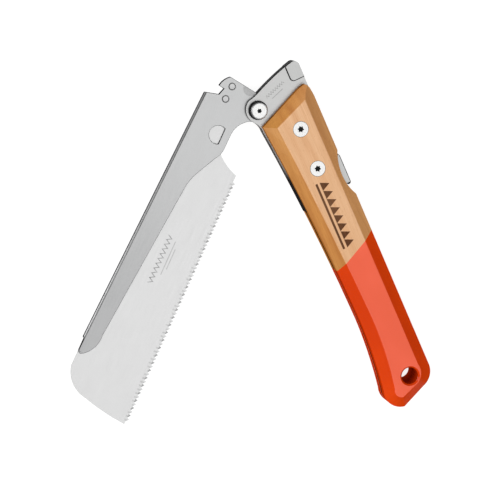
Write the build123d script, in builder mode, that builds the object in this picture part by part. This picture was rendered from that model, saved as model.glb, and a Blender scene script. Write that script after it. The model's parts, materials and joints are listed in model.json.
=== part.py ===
from build123d import *
import os
from math import cos, radians, sin

# A folding pull saw lying on its side, half open. Millimetres. The origin is the middle of the hanging
# hole in the handle's butt: +X runs to the butt, +Y to the handle's back, +Z up through its thickness.
# Handle points are given as (along, across) from the blade pivot, with +across towards the back. Blade
# points are given the same way with the tooth line laid along the handle, as when the saw is closed.

PIVOT_X = -173.5
PIVOT_Y = -18.0
HALF_OPEN_ANGLE = 48.75  # between the handle and the tooth line as the saw lies here
OPEN_ANGLE = -153.0  # tooth line from closed to locked open
LOCK_ANGLE = 6.0  # travel of the lock lever from released to locked

HALF_THICKNESS = 10.0  # wood, middle to face
SIDE_HALF_HEIGHT = 6.0  # flat side between the two bevels
BACK_EDGE = 31.4  # back of the wood above the pivot
ARRIS_RADIUS = 1.2  # rounding of the wood's edges
COAT = 0.3
PLATE_INNER = 1.5  # bracket plates, from the middle of the saw
PLATE_OUTER = 3.1
PLATE_BACK_EDGE = 31.0
TANG_ROUND = 7.0  # round end of the tang, centred a little in front of the pivot
TANG_ROUND_CENTRE = -0.7
BLADE_HALF = 0.3
SPINE_HALF = 1.2
FOLD_RADIUS = 0.9
BAR_HALF = 1.3  # lock lever bar
CAP_INNER = 3.2  # lever head caps, over the plates
CAP_OUTER = 3.9
TAIL_HALF = 3.0

PLATE_CORNER = [(-16.3, 27.6), (-15.6, 30.0), (-13.4, PLATE_BACK_EDGE)]

HANG_HOLE_RADIUS = 4.8
HANG_HOLE_RIM = 0.9
SCREWS = [(18.4, 16.4), (42.4, 16.4)]
SCREW_HEAD_RADIUS = 4.4
SCREW_HEAD_DEPTH = 2.2
SCREW_SHANK_RADIUS = 2.0
BARREL_RADIUS = 2.9
SCREW_SHANK_LENGTH = 14.0
TORX_RADIUS = 1.75
TORX_DEPTH = 1.6
LEVER_SLOT_CENTRE = (28.5, 30.0)
LEVER_SLOT_LENGTH = 67.0
LEVER_SLOT_WIDTH = 11.0
LEVER_SLOT_HALF = 3.2
SCOOP_CENTRE = (52.0, 55.4)
SCOOP_RADIUS = 27.5
DIP_EDGE = [(108.5, -12.0), (84.0, 40.0)]  # slanted edge of the dip, from below the belly to above the back
PIVOT_TORX_RADIUS = 1.35
PIVOT_TORX_DEPTH = 1.4
FACE_CLEAR = 1.0  # how far a cutter runs past the surface it starts from
UNDERSIDE_RADIUS = 26.0  # lever's underside, round the pivot, clear of the tang's hook
LEVER_PIN = (27.0, 26.8)
LEVER_PIN_RADIUS = 2.0
STOP_PIN = (39.0, 7.4)
STOP_PIN_RADIUS = 1.5
OPEN_STOP_GAP = 0.15  # between the open tang and the spacer
SPACER_FRONT_START = 10.5
SPACER_FRONT_END = 19.0
SPACER_BELLY_SIDE = 5.5
SPACER_RIVETS = [(9.4, 8.0), (8.6, 15.0)]
SPACER_RIVET_RADIUS = 1.2
HEAD_RIVET = (-9.9, 29.4)
TAIL_RIVET = (46.0, 27.4)
LEVER_RIVET_RADIUS = 0.9
HEAD_BLOCK_CENTRE = (-10.2, 29.45)
HEAD_BLOCK_WIDTH = 5.2
HEAD_BLOCK_LENGTH = 3.1
HEAD_SLOT_CENTRE = (-10.5, 29.4)
HEAD_SLOT_WIDTH = 6.6
HEAD_SLOT_LENGTH = 12.0

SLEEVE_RADIUS = 3.5
PIVOT_SCREW_RADIUS = 2.5
RUNNING_GAP = 0.05
PIVOT_WASHER_RADIUS = 5.3
PIVOT_WASHER_TOP = 3.9
COLLAR_RADIUS = 4.6
COLLAR_CUP_RADIUS = 4.0
COLLAR_FLOOR = 4.9
COLLAR_TOP = 7.1
COLLAR_CHAMFER = 0.4
PIVOT_HEAD_RADIUS = 3.9
PIVOT_HEAD_TOP = 6.9
NUT_RADIUS = 4.4  # across the corners, halved
NUT_BOTTOM = 7.9
THRUST_WASHER_RADIUS = 6.2
THRUST_WASHER_OUTER_FACE = 1.45
FRICTION_WASHER_RADIUS = 4.0
FRICTION_WASHER_THICKNESS = 0.17

TOOTH_PITCH = 2.3
TOOTH_COUNT = 63
TOOTH_TIP = 6.2
TOOTH_ROOT = 4.6
FIRST_TOOTH = 41.5
TOOTH_LEAN = 0.25  # share of the pitch from a root to the tip that leans towards the heel
SLOT_START = 55.0
SLOT_END = 200.0
SLOT_MOUTH = -8.0
SLOT_FLOOR_AT_START = 8.9
SLOT_FLOOR_AT_END = 11.8
WINDOW_CENTRE = (21.1, -14.3)
WINDOW_RADIUS = 5.1
WINDOW_FLAT = 2.3  # from the window's centre to its flat side
RIVET_RADIUS = 1.9
RIVET_HALF = 1.35
TANG_RIVETS = [(-6.0, -18.2), (1.6, -18.7)]

handle_frame = Plane(origin=(PIVOT_X, PIVOT_Y, 0), x_dir=(1, 0, 0), z_dir=(0, 0, 1))
blade_direction = (cos(radians(HALF_OPEN_ANGLE)), -sin(radians(HALF_OPEN_ANGLE)), 0)
blade_frame = Plane(origin=(PIVOT_X, PIVOT_Y, 0), x_dir=blade_direction, z_dir=(0, 0, 1))

# The wood's side edge and the edge of its flat face, point for point, with the bevel between them.
SIDE_EDGE = [
    (9.4, -1.7),
    (63.0, 2.5),
    (134.0, 5.0),
    (158.0, 3.7),
    (176.0, 1.4),
    (186.3, 3.4),
    (189.5, 9.0),
    (183.6, 23.6),
    (180.2, 28.9),
    (173.5, BACK_EDGE),
    (-4.4, BACK_EDGE),
]
FACE_EDGE = [
    (12.4, 5.0),
    (63.0, 8.3),
    (134.0, 11.2),
    (156.0, 10.2),
    (176.5, 7.0),
    (181.6, 7.6),
    (182.8, 10.0),
    (179.2, 20.6),
    (175.8, 23.9),
    (169.0, 24.8),
    (5.0, 24.8),
]

# Tang outline in the blade's own frame.
SPINE_CORNER = (2.8, -31.1)
NOTCH_OUTER = (0.8, -23.1)
NOTCH_BOTTOM = (-3.1, -21.8)
HOOK_TIP = (-3.6, -25.1)
HOOK_BACK = (-10.4, -21.2)
TANG_END_LOW = (-7.64, 0.92)


def turned(point, angle, centre=(0, 0)):
    """The point turned about a centre, anticlockwise in degrees."""
    c, s = cos(radians(angle)), sin(radians(angle))
    dx, dy = point[0] - centre[0], point[1] - centre[1]
    return (centre[0] + c * dx - s * dy, centre[1] + s * dx + c * dy)


def open_point(point, along=0, across=0):
    """Where a point of the blade stands on the handle when the saw is open, moved by a small gap."""
    x, y = turned(point, OPEN_ANGLE)
    return (x + along, y + across)


def released(point):
    """A point of the locked lever, taken back to where it stands when the lever is released."""
    return turned(point, -LOCK_ANGLE, LEVER_PIN)


def handle_outline(edge, inset):
    with BuildSketch() as outline:
        with BuildLine():
            Line(edge[10], edge[0])
            ThreePointArc(edge[0], edge[1], edge[2])
            ThreePointArc(edge[2], edge[3], edge[4])
            ThreePointArc(edge[4], edge[5], edge[6])
            Line(edge[6], edge[7])
            ThreePointArc(edge[7], edge[8], edge[9])
            Line(edge[9], edge[10])
        make_face()
        if inset:
            offset(amount=-inset, kind=Kind.INTERSECTION, mode=Mode.REPLACE)
    return outline.sketch


def handle_blank(inset=0):
    """The handle's whole shape, bevelled and rounded, or the same shape smaller by the inset all round."""
    with BuildPart() as blank:
        with BuildSketch(handle_frame):
            add(handle_outline(SIDE_EDGE, inset))
        extrude(amount=SIDE_HALF_HEIGHT, both=True)
        for side in (1, -1):
            with BuildSketch(handle_frame.offset(side * SIDE_HALF_HEIGHT)):
                add(handle_outline(SIDE_EDGE, inset))
            with BuildSketch(handle_frame.offset(side * (HALF_THICKNESS - inset))):
                add(handle_outline(FACE_EDGE, inset))
            loft(ruled=True)
        face_edges = blank.edges().group_by(Axis.Z)[0] + blank.edges().group_by(Axis.Z)[-1]
        fillet(face_edges, ARRIS_RADIUS - inset)
    return blank.part


def dip_region():
    """Everything on the butt's side of the slanted edge of the dip."""
    past_butt = 220
    with BuildPart() as region:
        with BuildSketch(handle_frame):
            with BuildLine():
                Polyline(*DIP_EDGE, (past_butt, DIP_EDGE[1][1]), (past_butt, DIP_EDGE[0][1]), close=True)
            make_face()
        extrude(amount=2 * HALF_THICKNESS, both=True)
    return region.part


def hanging_hole(radius, rim_start):
    """Cutter for the hanging hole, which opens at 45 degrees from rim_start outwards."""
    reach = HALF_THICKNESS + FACE_CLEAR
    with BuildPart() as cutter:
        with BuildSketch(Plane.XZ):
            with BuildLine():
                Polyline(
                    (0, -reach),
                    (radius + reach - rim_start, -reach),
                    (radius, -rim_start),
                    (radius, rim_start),
                    (radius + reach - rim_start, reach),
                    (0, reach),
                    close=True,
                )
            make_face()
        revolve(axis=Axis.Z)
    return cutter.part


def plate_outline():
    """Outer shape of the bracket plates."""
    front_low = (-8.8, 4.6)
    round_side = (-6.8, -2.4)
    round_end = (3.6, -5.7)
    neck = (7.3, -3.3)
    belly_start = (12.5, -2.2)
    belly_end = (63.5, 1.8)
    with BuildSketch() as outline:
        with BuildLine():
            ThreePointArc(round_end, (-2.2, -6.3), round_side)
            ThreePointArc(round_side, (-7.5, 1.0), front_low)
            ThreePointArc(front_low, (-13.0, 15.8), PLATE_CORNER[0])
            ThreePointArc(*PLATE_CORNER)
            Polyline(PLATE_CORNER[2], (36, PLATE_BACK_EDGE), (38, 24.6), (63.5, 24.6), belly_end)
            ThreePointArc(belly_end, (36, -0.1), belly_start)
            ThreePointArc(belly_start, (9.8, -2.4), neck)
            Line(neck, round_end)
        make_face()
    return outline.sketch


def handle_slots():
    """Cutter for the bracket pocket, the lever slot, the finger scoop and the tooth slot."""
    with BuildPart() as cutter:
        with BuildSketch(handle_frame):
            add(plate_outline())
        extrude(amount=PLATE_OUTER, both=True)
        with BuildSketch(handle_frame):
            with Locations(LEVER_SLOT_CENTRE):
                Rectangle(LEVER_SLOT_LENGTH, LEVER_SLOT_WIDTH)
        extrude(amount=LEVER_SLOT_HALF, both=True)
        with BuildSketch(handle_frame):
            with Locations(SCOOP_CENTRE):
                Circle(SCOOP_RADIUS)
        extrude(amount=HALF_THICKNESS + FACE_CLEAR, both=True)
        with BuildSketch(handle_frame):
            with BuildLine():
                Polyline(
                    (SLOT_START, SLOT_MOUTH),
                    (SLOT_START, SLOT_FLOOR_AT_START),
                    (SLOT_END, SLOT_FLOOR_AT_END),
                    (SLOT_END, SLOT_MOUTH),
                    close=True,
                )
            make_face()
        extrude(amount=PLATE_INNER, both=True)
    return cutter.part


def screw_holes():
    """Cutter for the two through holes and for their heads' seats in both faces."""
    with BuildPart() as cutter:
        with BuildSketch(handle_frame):
            with Locations(*SCREWS):
                Circle(BARREL_RADIUS)
        extrude(amount=HALF_THICKNESS + FACE_CLEAR, both=True)
        for side in (1, -1):
            with BuildSketch(handle_frame.offset(side * (HALF_THICKNESS - SCREW_HEAD_DEPTH))):
                with Locations(*SCREWS):
                    Circle(SCREW_HEAD_RADIUS)
            extrude(amount=side * (SCREW_HEAD_DEPTH + FACE_CLEAR))
    return cutter.part


def torx_star(radius):
    """Six-lobed recess."""
    with BuildSketch() as star:
        Circle(radius * 0.78)
        with PolarLocations(radius * 0.8, 6):
            Circle(radius * 0.22)
    return star.sketch


full_handle = handle_blank()
wood_core = handle_blank(COAT) & dip_region()
wood_core = wood_core - hanging_hole(HANG_HOLE_RADIUS + COAT, HALF_THICKNESS - HANG_HOLE_RIM - COAT / 3)

with BuildPart() as handle_wood:
    add(full_handle)
    add(dip_region(), mode=Mode.SUBTRACT)
    add(wood_core)
    add(handle_slots(), mode=Mode.SUBTRACT)
    add(screw_holes(), mode=Mode.SUBTRACT)
handle_wood.part.label = "handle_wood"

with BuildPart() as dip_coating:
    add(full_handle)
    add(dip_region(), mode=Mode.INTERSECT)
    add(hanging_hole(HANG_HOLE_RADIUS, HALF_THICKNESS - HANG_HOLE_RIM), mode=Mode.SUBTRACT)
    add(wood_core, mode=Mode.SUBTRACT)
    add(handle_slots(), mode=Mode.SUBTRACT)
dip_coating.part.label = "dip_coating"


def bracket_plate(side):
    """One bracket plate, with the slot at its upper corner that the lever's head slides in."""
    plate_thickness = PLATE_OUTER - PLATE_INNER
    with BuildPart() as plate:
        with BuildSketch(handle_frame.offset(side * PLATE_INNER)):
            add(plate_outline())
        extrude(amount=side * plate_thickness)
        with BuildSketch(handle_frame.offset(side * PLATE_INNER)):
            with Locations(HEAD_SLOT_CENTRE):
                Rectangle(HEAD_SLOT_WIDTH, HEAD_SLOT_LENGTH)
            Circle(SLEEVE_RADIUS)
            with Locations(*SCREWS):
                Circle(BARREL_RADIUS)
            with Locations(LEVER_PIN):
                Circle(LEVER_PIN_RADIUS)
            with Locations(STOP_PIN):
                Circle(STOP_PIN_RADIUS)
            with Locations(*SPACER_RIVETS):
                Circle(SPACER_RIVET_RADIUS)
        extrude(amount=side * plate_thickness, mode=Mode.SUBTRACT)
    return plate.part


bracket_plate_front = bracket_plate(1)
bracket_plate_front.label = "bracket_plate_front"
bracket_plate_back = bracket_plate(-1)
bracket_plate_back.label = "bracket_plate_back"

# The tang's end edge meets the spacer's straight front when the saw is open.
tang_end_high = open_point(HOOK_BACK, along=OPEN_STOP_GAP)
tang_end_low = open_point(TANG_END_LOW, along=OPEN_STOP_GAP)
tang_end_slope = (tang_end_high[0] - tang_end_low[0]) / (tang_end_high[1] - tang_end_low[1])


def tang_end_at(across):
    """How far along the handle the open tang's end edge stands, at a distance across it."""
    return tang_end_low[0] + tang_end_slope * (across - tang_end_low[1])


with BuildPart() as bracket_spacer:
    front_foot = (tang_end_at(SPACER_FRONT_START), SPACER_FRONT_START)
    with BuildSketch(handle_frame):
        with BuildLine():
            Polyline(
                front_foot,
                (tang_end_at(SPACER_FRONT_END), SPACER_FRONT_END),
                (7.5, SPACER_FRONT_END),
                (11.8, 9.0),
                (11.8, SPACER_BELLY_SIDE),
                (front_foot[0] + 2.6, SPACER_BELLY_SIDE),
                close=True,
            )
        make_face()
        with Locations(*SPACER_RIVETS):
            Circle(SPACER_RIVET_RADIUS, mode=Mode.SUBTRACT)
    extrude(amount=PLATE_INNER, both=True)
bracket_spacer.part.label = "bracket_spacer"


def pin_set(points, radius, half_length):
    """Plain round pins through the middle plane of the handle, one at each point."""
    with BuildPart() as pins:
        with BuildSketch(handle_frame):
            with Locations(*points):
                Circle(radius)
        extrude(amount=half_length, both=True)
    return pins.part


closing_stop_pin = pin_set([STOP_PIN], STOP_PIN_RADIUS, PLATE_OUTER)
closing_stop_pin.label = "closing_stop_pin"
bracket_rivets = pin_set(SPACER_RIVETS, SPACER_RIVET_RADIUS, PLATE_OUTER)
bracket_rivets.label = "bracket_rivets"
lever_pin = pin_set([LEVER_PIN], LEVER_PIN_RADIUS, PLATE_OUTER)
lever_pin.label = "lever_pin"

with BuildPart() as handle_screws:
    with BuildSketch(handle_frame.offset(HALF_THICKNESS)):
        with Locations(*SCREWS):
            Circle(SCREW_HEAD_RADIUS)
    extrude(amount=-SCREW_HEAD_DEPTH)
    with BuildSketch(handle_frame.offset(HALF_THICKNESS - SCREW_HEAD_DEPTH)):
        with Locations(*SCREWS):
            Circle(SCREW_SHANK_RADIUS)
    extrude(amount=-SCREW_SHANK_LENGTH)
    with BuildSketch(handle_frame.offset(HALF_THICKNESS)):
        with Locations(*SCREWS):
            add(torx_star(TORX_RADIUS))
    extrude(amount=-TORX_DEPTH, mode=Mode.SUBTRACT)
handle_screws.part.label = "handle_screws"

with BuildPart() as barrel_nuts:
    with BuildSketch(handle_frame.offset(-HALF_THICKNESS)):
        with Locations(*SCREWS):
            Circle(SCREW_HEAD_RADIUS)
    extrude(amount=SCREW_HEAD_DEPTH)
    with BuildSketch(handle_frame.offset(-HALF_THICKNESS + SCREW_HEAD_DEPTH)):
        with Locations(*SCREWS):
            Circle(BARREL_RADIUS)
    extrude(amount=2 * (HALF_THICKNESS - SCREW_HEAD_DEPTH))
    with BuildSketch(handle_frame.offset(HALF_THICKNESS)):
        with Locations(*SCREWS):
            Circle(SCREW_SHANK_RADIUS)
    extrude(amount=-SCREW_HEAD_DEPTH - SCREW_SHANK_LENGTH, mode=Mode.SUBTRACT)
barrel_nuts.part.label = "barrel_nuts"


def pivot_ring(label, outer_radius, inner_radius, start, stop):
    """A flat ring on the pivot axis between two heights."""
    with BuildPart() as ring:
        with BuildSketch(handle_frame.offset(start)):
            Circle(outer_radius)
            Circle(inner_radius, mode=Mode.SUBTRACT)
        extrude(amount=stop - start)
    ring.part.label = label
    return ring.part


pivot_sleeve = pivot_ring("pivot_sleeve", SLEEVE_RADIUS, PIVOT_SCREW_RADIUS, -PLATE_OUTER, PLATE_OUTER)
pivot_washer_front = pivot_ring(
    "pivot_washer_front", PIVOT_WASHER_RADIUS, PIVOT_SCREW_RADIUS, PLATE_OUTER, PIVOT_WASHER_TOP
)
pivot_washer_back = pivot_ring(
    "pivot_washer_back", PIVOT_WASHER_RADIUS, PIVOT_SCREW_RADIUS, -PIVOT_WASHER_TOP, -PLATE_OUTER
)
thrust_washer_front = pivot_ring(
    "thrust_washer_front",
    THRUST_WASHER_RADIUS,
    SLEEVE_RADIUS + RUNNING_GAP,
    SPINE_HALF,
    THRUST_WASHER_OUTER_FACE,
)
thrust_washer_back = pivot_ring(
    "thrust_washer_back",
    THRUST_WASHER_RADIUS,
    SLEEVE_RADIUS + RUNNING_GAP,
    -THRUST_WASHER_OUTER_FACE,
    -SPINE_HALF,
)

with BuildPart() as pivot_collar:
    with BuildSketch(handle_frame.offset(PIVOT_WASHER_TOP)):
        Circle(COLLAR_RADIUS)
    extrude(amount=COLLAR_TOP - PIVOT_WASHER_TOP)
    chamfer(pivot_collar.edges().group_by(Axis.Z)[-1], COLLAR_CHAMFER)
    with BuildSketch(handle_frame.offset(PIVOT_WASHER_TOP)):
        Circle(PIVOT_SCREW_RADIUS)
    extrude(amount=COLLAR_FLOOR - PIVOT_WASHER_TOP, mode=Mode.SUBTRACT)
    with BuildSketch(handle_frame.offset(COLLAR_FLOOR)):
        Circle(COLLAR_CUP_RADIUS)
    extrude(amount=COLLAR_TOP - COLLAR_FLOOR, mode=Mode.SUBTRACT)
pivot_collar.part.label = "pivot_collar"

with BuildPart() as pivot_screw:
    with BuildSketch(handle_frame.offset(COLLAR_FLOOR)):
        Circle(PIVOT_HEAD_RADIUS)
    extrude(amount=PIVOT_HEAD_TOP - COLLAR_FLOOR)
    with BuildSketch(handle_frame.offset(COLLAR_FLOOR)):
        Circle(PIVOT_SCREW_RADIUS)
    extrude(amount=-COLLAR_FLOOR - NUT_BOTTOM)
    with BuildSketch(handle_frame.offset(PIVOT_HEAD_TOP)):
        add(torx_star(PIVOT_TORX_RADIUS))
    extrude(amount=-PIVOT_TORX_DEPTH, mode=Mode.SUBTRACT)
pivot_screw.part.label = "pivot_screw"

with BuildPart() as pivot_nut:
    with BuildSketch(handle_frame.offset(-PIVOT_WASHER_TOP)):
        RegularPolygon(NUT_RADIUS, 6)
        Circle(PIVOT_SCREW_RADIUS, mode=Mode.SUBTRACT)
    extrude(amount=-(NUT_BOTTOM - PIVOT_WASHER_TOP))
pivot_nut.part.label = "pivot_nut"


def tooth_points():
    """The saw's tooth line from the first root to the last."""
    points = [(FIRST_TOOTH, TOOTH_ROOT)]
    for number in range(TOOTH_COUNT):
        root = FIRST_TOOTH + number * TOOTH_PITCH
        points.append((root + TOOTH_LEAN * TOOTH_PITCH, TOOTH_TIP))
        points.append((root + TOOTH_PITCH, TOOTH_ROOT))
    return points


with BuildPart() as blade_plate:
    teeth = tooth_points()
    heel = (37.5, TOOTH_ROOT)
    heel_top = (30.0, -8.6)
    toe_corner = (188.0, TOOTH_ROOT)
    toe_high = (182.7, -21.4)
    back_corner = (168.5, -36.2)
    back_start = (153.0, -36.0)
    with BuildSketch(blade_frame):
        with BuildLine():
            Polyline(heel, *teeth, toe_corner)
            ThreePointArc(toe_corner, (186.0, -8.9), toe_high)
            ThreePointArc(toe_high, (177.9, -31.2), back_corner)
            Polyline(
                back_corner,
                back_start,
                (4.2, -29.9),
                (2.5, -22.0),
                (-8.8, -19.8),
                (-7.6, -9.8),
                (10.0, -9.4),
                heel_top,
            )
            ThreePointArc(heel_top, (34.3, -2.9), heel)
        make_face()
        with Locations(*TANG_RIVETS):
            Circle(RIVET_RADIUS, mode=Mode.SUBTRACT)
    extrude(amount=BLADE_HALF, both=True)
blade_plate.part.label = "blade_plate"

with BuildPart() as spine_sheet:
    fold_end = (152.0, -37.0)
    leaf_back = (159.2, -36.1)
    leaf_tip = (160.9, -34.2)
    leaf_end = (147.0, -27.3)
    with BuildSketch(blade_frame):
        with BuildLine():
            Line(SPINE_CORNER, fold_end)
            Line(fold_end, (152.0, -36.1))
            Line((152.0, -36.1), leaf_back)
            ThreePointArc(leaf_back, (160.5, -35.5), leaf_tip)
            ThreePointArc(leaf_tip, (155.6, -29.0), leaf_end)
            Line(leaf_end, (55.8, -19.2))
            ThreePointArc((55.8, -19.2), (50.8, -18.4), (46.0, -16.7))
            Line((46.0, -16.7), (33.5, -10.3))
            ThreePointArc((33.5, -10.3), (30.4, -8.5), (26.5, -7.8))
            Line((26.5, -7.8), (19.0, -7.7))
            ThreePointArc((19.0, -7.7), (11.4, -5.4), (7.6, -1.2))
            Line((7.6, -1.2), (6.0, 2.0))
            ThreePointArc((6.0, 2.0), (TANG_ROUND_CENTRE, TANG_ROUND), TANG_END_LOW)
            Line(TANG_END_LOW, HOOK_BACK)
            ThreePointArc(HOOK_BACK, (-7.2, -23.9), HOOK_TIP)
            Polyline(HOOK_TIP, NOTCH_BOTTOM, NOTCH_OUTER, SPINE_CORNER)
        make_face()
        Circle(SLEEVE_RADIUS + RUNNING_GAP, mode=Mode.SUBTRACT)
        with Locations(*TANG_RIVETS):
            Circle(RIVET_RADIUS, mode=Mode.SUBTRACT)
    extrude(amount=SPINE_HALF, both=True)
    fold_line = (
        spine_sheet.edges()
        .filter_by(GeomType.LINE)
        .sort_by(SortBy.LENGTH)[-2:]
    )
    fillet(fold_line, FOLD_RADIUS)
    add(blade_plate.part, mode=Mode.SUBTRACT)
    with BuildSketch(blade_frame):
        with Locations(WINDOW_CENTRE):
            Circle(WINDOW_RADIUS)
        with Locations((WINDOW_CENTRE[0], WINDOW_CENTRE[1] + WINDOW_FLAT + WINDOW_RADIUS)):
            Rectangle(3 * WINDOW_RADIUS, 2 * WINDOW_RADIUS, mode=Mode.SUBTRACT)
    extrude(amount=SPINE_HALF, both=True, mode=Mode.SUBTRACT)
spine_sheet.part.label = "spine_sheet"

with BuildPart() as tang_rivets:
    with BuildSketch(blade_frame):
        with Locations(*TANG_RIVETS):
            Circle(RIVET_RADIUS)
    extrude(amount=RIVET_HALF, both=True)
tang_rivets.part.label = "tang_rivets"

# The lever's tooth and underside are drawn where they stand when locked, then taken back to released.
# Each point stands off the tang by a small gap, more above the hook.
tooth_left = open_point(NOTCH_OUTER, along=0.35, across=0.5)
tooth_right = open_point(NOTCH_BOTTOM, along=-0.6, across=0.35)
tooth_top = open_point(HOOK_TIP, along=-0.6, across=1.9)
stop_face_top = open_point(SPINE_CORNER, along=1.9, across=-1.2)
underside = [turned((UNDERSIDE_RADIUS, 0), angle) for angle in (106.5, 96, 85)]

with BuildPart() as lever_bar:
    with BuildSketch(handle_frame):
        with BuildLine():
            Polyline(
                released(stop_face_top),
                released(tooth_left),
                released(tooth_right),
                released(tooth_top),
                released(underside[0]),
            )
            ThreePointArc(*[released(point) for point in underside])
            Polyline(
                released(underside[2]),
                (13.0, 23.4),
                (44.0, 23.4),
                (57.0, 27.4),
                (59.6, 30.2),
            )
            ThreePointArc((59.6, 30.2), (59.3, 31.5), (58.0, 32.0))
            Polyline((58.0, 32.0), (43.0, 32.0), (38.0, PLATE_BACK_EDGE), (-13.4, PLATE_BACK_EDGE))
            Line((-13.4, PLATE_BACK_EDGE), released(stop_face_top))
        make_face()
        with Locations(LEVER_PIN):
            Circle(LEVER_PIN_RADIUS + RUNNING_GAP, mode=Mode.SUBTRACT)
        with Locations(HEAD_RIVET, TAIL_RIVET):
            Circle(LEVER_RIVET_RADIUS, mode=Mode.SUBTRACT)
    extrude(amount=BAR_HALF, both=True)
lever_bar.part.label = "lever_bar"


def lever_head(side):
    """Cap over one plate's upper corner, with a block through the plate's slot down to the bar."""
    with BuildPart() as head:
        with BuildSketch(handle_frame.offset(side * CAP_INNER)):
            with BuildLine():
                Line((-6.2, PLATE_BACK_EDGE), PLATE_CORNER[2])
                ThreePointArc(*PLATE_CORNER)
                Line(PLATE_CORNER[0], (-15.2, 23.3))
                Line((-15.2, 23.3), (-8.7, 23.3))
                ThreePointArc((-8.7, 23.3), (-6.93, 24.03), (-6.2, 25.8))
                Line((-6.2, 25.8), (-6.2, PLATE_BACK_EDGE))
            make_face()
        extrude(amount=side * (CAP_OUTER - CAP_INNER))
        with BuildSketch(handle_frame.offset(side * BAR_HALF)):
            with Locations(HEAD_BLOCK_CENTRE):
                Rectangle(HEAD_BLOCK_WIDTH, HEAD_BLOCK_LENGTH)
        extrude(amount=side * (CAP_INNER - BAR_HALF))
        with BuildSketch(handle_frame.offset(side * BAR_HALF)):
            with Locations(HEAD_RIVET):
                Circle(LEVER_RIVET_RADIUS)
        extrude(amount=side * (CAP_INNER - BAR_HALF), mode=Mode.SUBTRACT)
    return head.part


lever_head_front = lever_head(1)
lever_head_front.label = "lever_head_front"
lever_head_back = lever_head(-1)
lever_head_back.label = "lever_head_back"


def lever_tail(side):
    """Pad on one side of the lever's tail."""
    with BuildPart() as pad:
        with BuildSketch(handle_frame.offset(side * BAR_HALF)):
            with BuildLine():
                Polyline((42.0, 31.8), (42.0, 26.0), (52.0, 26.0), (57.0, 27.4), (59.6, 30.2))
                ThreePointArc((59.6, 30.2), (59.3, 31.5), (58.0, 32.0))
                Polyline((58.0, 32.0), (43.0, 32.0), (42.0, 31.8))
            make_face()
            with Locations(TAIL_RIVET):
                Circle(LEVER_RIVET_RADIUS, mode=Mode.SUBTRACT)
        extrude(amount=side * (TAIL_HALF - BAR_HALF))
    return pad.part


lever_tail_front = lever_tail(1)
lever_tail_front.label = "lever_tail_front"
lever_tail_back = lever_tail(-1)
lever_tail_back.label = "lever_tail_back"

with BuildPart() as lever_rivets:
    with BuildSketch(handle_frame):
        with Locations(HEAD_RIVET):
            Circle(LEVER_RIVET_RADIUS)
    extrude(amount=CAP_INNER, both=True)
    with BuildSketch(handle_frame):
        with Locations(TAIL_RIVET):
            Circle(LEVER_RIVET_RADIUS)
    extrude(amount=TAIL_HALF, both=True)
lever_rivets.part.label = "lever_rivets"

with BuildPart() as lever_friction_washers:
    for side in (1, -1):
        with BuildSketch(handle_frame.offset(side * BAR_HALF)):
            with Locations(LEVER_PIN):
                Circle(FRICTION_WASHER_RADIUS)
                Circle(LEVER_PIN_RADIUS + RUNNING_GAP, mode=Mode.SUBTRACT)
        extrude(amount=side * FRICTION_WASHER_THICKNESS)
lever_friction_washers.part.label = "lever_friction_washers"

os.makedirs("parts", exist_ok=True)
for piece in [
    handle_wood.part,
    dip_coating.part,
    bracket_plate_front,
    bracket_plate_back,
    bracket_spacer.part,
    closing_stop_pin,
    bracket_rivets,
    lever_pin,
    handle_screws.part,
    barrel_nuts.part,
    pivot_sleeve,
    pivot_screw.part,
    pivot_collar.part,
    pivot_nut.part,
    pivot_washer_front,
    pivot_washer_back,
    blade_plate.part,
    spine_sheet.part,
    tang_rivets.part,
    thrust_washer_front,
    thrust_washer_back,
    lever_bar.part,
    lever_head_front,
    lever_head_back,
    lever_tail_front,
    lever_tail_back,
    lever_rivets.part,
    lever_friction_washers.part,
]:
    export_step(piece, f"parts/{piece.label}.step")
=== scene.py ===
"""The looks of a folding pull saw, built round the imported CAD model. Metres, in the CAD's own frame."""

import json
import math

import bmesh
import bpy
from mathutils import Matrix, Vector


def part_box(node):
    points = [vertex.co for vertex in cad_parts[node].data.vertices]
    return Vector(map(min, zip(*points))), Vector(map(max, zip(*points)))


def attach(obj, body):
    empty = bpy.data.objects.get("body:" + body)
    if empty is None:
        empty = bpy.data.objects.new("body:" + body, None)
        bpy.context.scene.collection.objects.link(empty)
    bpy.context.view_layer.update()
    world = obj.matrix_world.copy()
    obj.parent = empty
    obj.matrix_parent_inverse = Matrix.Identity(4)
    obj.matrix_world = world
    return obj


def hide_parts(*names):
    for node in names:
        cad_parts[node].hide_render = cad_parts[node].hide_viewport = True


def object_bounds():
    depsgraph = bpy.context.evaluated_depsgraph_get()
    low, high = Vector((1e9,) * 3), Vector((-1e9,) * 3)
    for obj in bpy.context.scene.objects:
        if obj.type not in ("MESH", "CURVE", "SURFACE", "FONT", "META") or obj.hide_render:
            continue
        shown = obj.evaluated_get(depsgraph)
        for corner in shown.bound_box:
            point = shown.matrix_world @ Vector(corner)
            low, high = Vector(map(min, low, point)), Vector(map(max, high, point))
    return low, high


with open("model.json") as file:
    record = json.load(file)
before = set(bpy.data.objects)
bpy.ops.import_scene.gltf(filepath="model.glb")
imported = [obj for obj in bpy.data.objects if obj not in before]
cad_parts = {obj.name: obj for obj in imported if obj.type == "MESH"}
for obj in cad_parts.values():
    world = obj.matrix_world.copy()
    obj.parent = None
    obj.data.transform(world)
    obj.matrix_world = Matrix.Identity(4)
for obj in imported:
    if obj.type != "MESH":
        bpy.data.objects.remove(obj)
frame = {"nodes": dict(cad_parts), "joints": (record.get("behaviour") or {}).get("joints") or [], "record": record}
cad_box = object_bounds()

# ---------------------------------------------------------------- sizes and places

MM = 0.001
BLADE_FOLD = next(joint for joint in frame["joints"] if joint["name"] == "blade_fold")
PIVOT = Vector(BLADE_FOLD["pos_m"])
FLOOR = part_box("handle_wood")[0].z
FRONT_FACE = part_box("handle_wood")[1].z

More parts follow.
